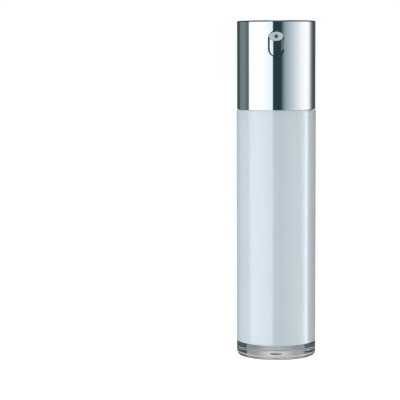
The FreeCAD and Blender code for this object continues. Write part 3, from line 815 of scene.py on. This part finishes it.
class PUMPBOTTLE_OT_spring(PieceOperator, bpy.types.Operator):
    """Return spring, one unbroken wire"""

    bl_idname = "pump_bottle.spring"
    bl_label = "Return spring"

    def build(self, sizes):
        wire = sizes.wire_radius
        coil = SPRING_HIGH.x - wire
        low, high = SPRING_LOW.z + wire, SPRING_HIGH.z - wire
        active = 3.5
        pitch = (high - low - sizes.end_pitch * 2) / active
        steps = 48
        bm = bmesh.new()
        made = bmesh.ops.create_circle(
            bm, cap_ends=False, radius=wire, segments=16,
            matrix=Matrix.Translation((coil, 0, low)) @ Matrix.Rotation(math.pi / 2, 4, "X"))
        section = made["verts"]
        for turns, rise in ((1.0, sizes.end_pitch), (active, pitch), (1.0, sizes.end_pitch)):
            count = round(steps * turns)
            made = bmesh.ops.spin(
                bm, geom=section + edges_of(section), cent=(0, 0, 0), axis=(0, 0, 1),
                dvec=(0, 0, rise / steps), angle=FULL_TURN * turns, steps=count,
                use_merge=False, use_duplicate=False,
            )
            section = [item for item in made["geom_last"] if isinstance(item, bmesh.types.BMVert)]
        bmesh.ops.holes_fill(bm, edges=[edge for edge in bm.edges if edge.is_boundary], sides=0)
        bmesh.ops.recalc_face_normals(bm, faces=bm.faces[:])
        piece = finished(bm, "coil_spring", "bottle", "spring_steel", "return_spring")
        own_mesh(piece)


class PUMPBOTTLE_OT_pump_finishes(bpy.types.Operator):
    """Finishes of the pump pieces inside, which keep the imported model's shapes"""

    bl_idname = "pump_bottle.pump_finishes"
    bl_label = "Pump finishes"
    bl_options = {"REGISTER", "UNDO"}

    def execute(self, context):
        slots = {part["node"]: part["material_slot"] for part in frame["record"]["subparts"]}
        for name, node in frame["nodes"].items():
            for place in node.material_slots:
                place.material = finish_of(slots[name])
        return {"FINISHED"}


# Studio

# Tones of the studio round the bottle: degrees from the camera towards the right, and a colour or a grey.
# What a bare mirror-bright wall or the outer clear wall shows
SEEN_PANELS = (
    (-180, 1.1), (-167, 1.1), (-160, (0.3, 0.32, 0.33)), (-152, (0.05, 0.07, 0.075)),
    (-134, (0.06, 0.085, 0.09)), (-127, (0.18, 0.22, 0.225)), (-104, (0.185, 0.235, 0.245)),
    (-94, (0.105, 0.145, 0.165)), (-86.5, (0.12, 0.16, 0.18)), (-84.5, (1.15, 1.17, 1.17)),
    (-40, (1.15, 1.17, 1.17)), (-18, (0.98, 1.03, 1.05)), (-10.5, (0.93, 0.98, 1.0)),
    (-8.5, (0.018, 0.05, 0.056)), (14, (0.018, 0.05, 0.056)), (17, (0.09, 0.12, 0.135)),
    (27, (0.32, 0.39, 0.42)), (39, (0.46, 0.535, 0.6)), (80, 1.02), (95, 1.1), (102, 1.1),
    (107.5, 0.98), (111, (0.93, 0.94, 0.95)), (116, (0.62, 0.66, 0.69)), (122, (0.26, 0.29, 0.31)),
    (135, (0.065, 0.08, 0.085)), (153, (0.06, 0.075, 0.08)), (162, (0.3, 0.32, 0.33)),
    (168, 1.1), (180, 1.1),
)
# The back, seen through the clear base
BACK_LEFT = (
    (-180, (0.47, 0.48, 0.49)), (-167, (0.34, 0.35, 0.36)), (-160, (0.22, 0.23, 0.24)),
    (-148, (0.24, 0.25, 0.26)), (-144, (0.01, 0.02, 0.025)),
)
BACK_RIGHT = (
    (143, (0.05, 0.065, 0.07)), (146, (0.32, 0.33, 0.34)), (150, (0.21, 0.22, 0.23)),
    (159, (0.2, 0.21, 0.22)), (170, (0.4, 0.41, 0.42)), (180, (0.47, 0.48, 0.49)),
)
# What the white wall's coat shows inside the clear one, with the bright panel at the right
INNER_PANELS = BACK_LEFT + (
    (-120, (0.05, 0.065, 0.07)), (-104, (0.12, 0.15, 0.16)), (-86.5, (0.12, 0.16, 0.18)),
    (-84.5, (1.15, 1.17, 1.17)), (-40, (1.15, 1.17, 1.17)), (-10.5, (0.93, 0.98, 1.0)),
    (-8.5, (0.018, 0.05, 0.056)), (14, (0.018, 0.05, 0.056)), (17, (0.09, 0.12, 0.135)),
    (39, (0.46, 0.535, 0.6)), (76, 0.9), (86, 1.3), (95, 2.3), (104, 3.6), (109, 3.6), (113, 1.9),
    (118, (0.15, 0.16, 0.17)), (125, (0.05, 0.065, 0.07)),
) + BACK_RIGHT
# What shows straight through the clear base
BEHIND_PANELS = BACK_LEFT + ((-110, (0.01, 0.02, 0.025)), (110, (0.05, 0.065, 0.07))) + BACK_RIGHT
# What shows through the clear base after a turn upwards at its underside
RAISED_PANELS = (
    (-180, (0.72, 0.73, 0.74)), (-172, (0.6, 0.61, 0.62)), (-167, (0.46, 0.47, 0.48)),
    (-160, (0.3, 0.31, 0.32)), (-148, (0.26, 0.27, 0.28)), (-144, (0.01, 0.02, 0.025)),
    (-110, (0.01, 0.02, 0.025)), (110, (0.04, 0.055, 0.06)), (143, (0.04, 0.055, 0.06)),
    (146, (0.38, 0.39, 0.4)), (150, (0.26, 0.27, 0.28)), (160, (0.3, 0.31, 0.32)),
    (167, (0.46, 0.47, 0.48)), (172, (0.6, 0.61, 0.62)), (180, (0.72, 0.73, 0.74)),
)
# What lights the white plastic through the clear wall
LIGHT_PANELS = (
    (-180, 0.78), (-140, 0.65), (-110, (1.05, 1.08, 1.1)), (-85, (2.15, 2.18, 2.2)),
    (-45, (2.7, 2.73, 2.77)), (-24, (1.69, 1.74, 1.77)), (5, (1.0, 1.05, 1.07)),
    (35, (0.93, 0.93, 0.94)), (55, (1.28, 1.25, 1.23)), (75, (1.6, 1.56, 1.52)),
    (108, (1.5, 1.45, 1.4)), (125, 0.6), (180, 0.72),
)
# What lights bare plastic, such as the nozzle
PLAIN_PANELS = (
    (-180, 0.15), (-75, 0.3), (-50, 0.6), (-30, 1.2), (30, 1.2), (50, 0.6), (75, 0.3), (180, 0.15),
)

# Where a direction's height passes from one tone to the next, from 0 for level to 1 for straight up
BARE_CEILING = (0.06, 0.16)
BARE_OVERHEAD = (0.96, 0.975)
STRIP_START = (0.14, 0.15)
RAISED_START = (0.165, 0.175)
CLEAR_CEILING = (0.198, 0.21)
LIGHT_CEILING = (0.3, 0.55)
PLAIN_STEEP = (0.35, 0.6)


def panel_ramp(tree, turn, stops):
    """Colours round the bottle, from a turn of 0 to 1."""
    ramp_node = tree.nodes.new("ShaderNodeValToRGB")
    tree.links.new(turn, ramp_node.inputs["Fac"])
    ramp = ramp_node.color_ramp
    while len(ramp.elements) < len(stops):
        ramp.elements.new(0.5)
    for element, (angle, tone) in zip(ramp.elements, stops):
        element.position = angle / 360 + 0.5
        element.color = (*tone, 1.0) if isinstance(tone, tuple) else (tone, tone, tone, 1.0)
    return ramp_node.outputs["Color"]


def fade(tree, amount, first, second):
    """Goes from one colour to another, each a socket or a plain colour."""
    mix = tree.nodes.new("ShaderNodeMix")
    mix.data_type = "RGBA"
    tree.links.new(amount, mix.inputs["Factor"])
    for name, value in (("A", first), ("B", second)):
        if isinstance(value, tuple):
            mix.inputs[name].default_value = (*value, 1.0)
        else:
            tree.links.new(value, mix.inputs[name])
    return mix.outputs["Result"]


def studio_world(context):
    """Soft studio: a bright panel each side, a dark gap at the front and one tone for each kind of ray."""
    world = bpy.data.worlds.new("Soft studio")
    context.scene.world = world
    world.use_nodes = True
    tree = world.node_tree
    tree.nodes.clear()
    output = tree.nodes.new("ShaderNodeOutputWorld")
    direction = tree.nodes.new("ShaderNodeTexCoord").outputs["Generated"]
    turned_way = tree.nodes.new("ShaderNodeMapping")
    turned_way.inputs["Rotation"].default_value = (0.0, 0.0, math.pi / 2)
    tree.links.new(direction, turned_way.inputs["Vector"])
    round_about = tree.nodes.new("ShaderNodeTexGradient")
    round_about.gradient_type = "RADIAL"
    tree.links.new(turned_way.outputs["Vector"], round_about.inputs["Vector"])
    turn = round_about.outputs["Fac"]
    split = tree.nodes.new("ShaderNodeSeparateXYZ")
    tree.links.new(direction, split.inputs["Vector"])
    height = split.outputs["Z"]
    path = tree.nodes.new("ShaderNodeLightPath")

    def panels(stops):
        return panel_ramp(tree, turn, stops)

    def above(band, lower, upper):
        return fade(tree, spread(tree, height, *band), lower, upper)

    def after(kind, count, before, then):
        passed = spread(tree, path.outputs[kind], count - 0.5, count - 0.4)
        return fade(tree, passed, before, then)

    # What mirrors and clear plastic show
    raised = above(BARE_OVERHEAD, (0.04, 0.06, 0.065), (0.8, 0.83, 0.85))
    bare = above(BARE_CEILING, panels(SEEN_PANELS), raised)
    inner = after("Glossy Depth", 1, panels(BEHIND_PANELS), panels(INNER_PANELS))
    strip = above(STRIP_START, inner, (0.55, 0.56, 0.57))
    inside = above(RAISED_START, strip, panels(RAISED_PANELS))
    covered = above(CLEAR_CEILING, inside, (0.3, 0.33, 0.35))
    seen = after("Transmission Depth", 1, bare, covered)

    # What lights matt plastic
    level = tree.nodes.new("ShaderNodeMath")
    level.operation = "ABSOLUTE"
    tree.links.new(height, level.inputs[0])
    steep = spread(tree, level.outputs["Value"], *PLAIN_STEEP)
    plain = fade(tree, steep, panels(PLAIN_PANELS), (0.25, 0.26, 0.27))
    bright = above(LIGHT_CEILING, panels(LIGHT_PANELS), (0.98, 1.0, 1.02))
    through_base = after("Transmission Depth", 3, bright, (0.6, 0.62, 0.64))
    light = after("Transmission Depth", 1, plain, through_base)

    lit = fade(tree, path.outputs["Diffuse Depth"], seen, light)
    shown = fade(tree, path.outputs["Is Camera Ray"], lit, (1.0, 1.0, 1.0))
    room = tree.nodes.new("ShaderNodeBackground")
    tree.links.new(shown, room.inputs["Color"])
    tree.links.new(room.outputs["Background"], output.inputs["Surface"])


def studio_floor(colours):
    """Pale round floor that glows a little, as a lit white table does."""
    bm = bmesh.new()
    bmesh.ops.create_circle(bm, cap_ends=True, cap_tris=False, radius=3.0, segments=96)
    mesh = bpy.data.meshes.new("studio_floor")
    bm.to_mesh(mesh)
    bm.free()
    floor = bpy.data.objects.new("studio_floor", mesh)
    bpy.context.scene.collection.objects.link(floor)
    material, shader = blank_finish("Studio floor")
    shader.inputs["Base Color"].default_value = (*colours.floor, 1.0)
    shader.inputs["Roughness"].default_value = 0.9
    shader.inputs["Specular IOR Level"].default_value = 0.0
    shader.inputs["Emission Color"].default_value = (*colours.floor, 1.0)
    shader.inputs["Emission Strength"].default_value = 1.0
    mesh.materials.append(material)
    floor.visible_diffuse = False
    floor.visible_glossy = False
    floor.visible_transmission = False


def studio_camera(context):
    """Camera at the photograph's viewing angle: a long lens at the height of the bottle's shell."""
    view = bpy.data.cameras.new("camera")
    view.sensor_width = 36.0
    view.lens = 143.46
    view.clip_start = 0.01
    camera = bpy.data.objects.new("camera", view)
    camera.location = (0.0, -0.68, 0.1298)
    turn, tilt, roll = (math.radians(angle) for angle in (2.744, 90 - 5.311, -0.23))
    aim = Matrix.Rotation(turn, 3, "Z") @ Matrix.Rotation(tilt, 3, "X") @ Matrix.Rotation(roll, 3, "Z")
    camera.rotation_euler = aim.to_euler()
    context.scene.collection.objects.link(camera)
    context.scene.camera = camera


class PUMPBOTTLE_OT_stage(bpy.types.Operator):
    """Pale floor, soft studio light and the photograph's camera"""

    bl_idname = "pump_bottle.stage"
    bl_label = "Studio"
    bl_options = {"REGISTER", "UNDO"}

    def execute(self, context):
        context.scene.view_settings.view_transform = "Standard"
        studio_world(context)
        studio_floor(context.scene.pump_bottle_colours)
        studio_camera(context)
        return {"FINISHED"}


class PUMPBOTTLE_PT_panel(bpy.types.Panel):
    """Sidebar list of the bottle's pieces, sizes and colours"""

    bl_idname = "PUMPBOTTLE_PT_panel"
    bl_label = "Airless pump bottle"
    bl_space_type = "VIEW_3D"
    bl_region_type = "UI"
    bl_category = "Pump Bottle"

    def draw(self, context):
        layout = self.layout
        for step in STEPS:
            layout.operator(step.bl_idname)
        for group in (context.scene.pump_bottle_sizes, context.scene.pump_bottle_colours):
            box = layout.box()
            for name in group.bl_rna.properties.keys():
                if name not in ("rna_type", "name"):
                    box.prop(group, name)


STEPS = (
    PUMPBOTTLE_OT_clear_bottle,
    PUMPBOTTLE_OT_white_bottle,
    PUMPBOTTLE_OT_mirror_shell,
    PUMPBOTTLE_OT_push_button,
    PUMPBOTTLE_OT_nozzle,
    PUMPBOTTLE_OT_spring,
    PUMPBOTTLE_OT_pump_finishes,
    PUMPBOTTLE_OT_stage,
)
CLASSES = (BottleSizes, BottleColours, *STEPS, PUMPBOTTLE_PT_panel)


def register():
    for cls in CLASSES:
        bpy.utils.register_class(cls)
    bpy.types.Scene.pump_bottle_sizes = PointerProperty(type=BottleSizes)
    bpy.types.Scene.pump_bottle_colours = PointerProperty(type=BottleColours)


def unregister():
    del bpy.types.Scene.pump_bottle_colours
    del bpy.types.Scene.pump_bottle_sizes
    for cls in reversed(CLASSES):
        bpy.utils.unregister_class(cls)


def main():
    """Builds the whole bottle and its studio."""
    register()
    bpy.ops.pump_bottle.clear_bottle()
    bpy.ops.pump_bottle.white_bottle()
    bpy.ops.pump_bottle.mirror_shell()
    bpy.ops.pump_bottle.push_button()
    bpy.ops.pump_bottle.nozzle()
    bpy.ops.pump_bottle.spring()
    bpy.ops.pump_bottle.pump_finishes()
    bpy.ops.pump_bottle.stage()


if __name__ == "__main__":
    main()
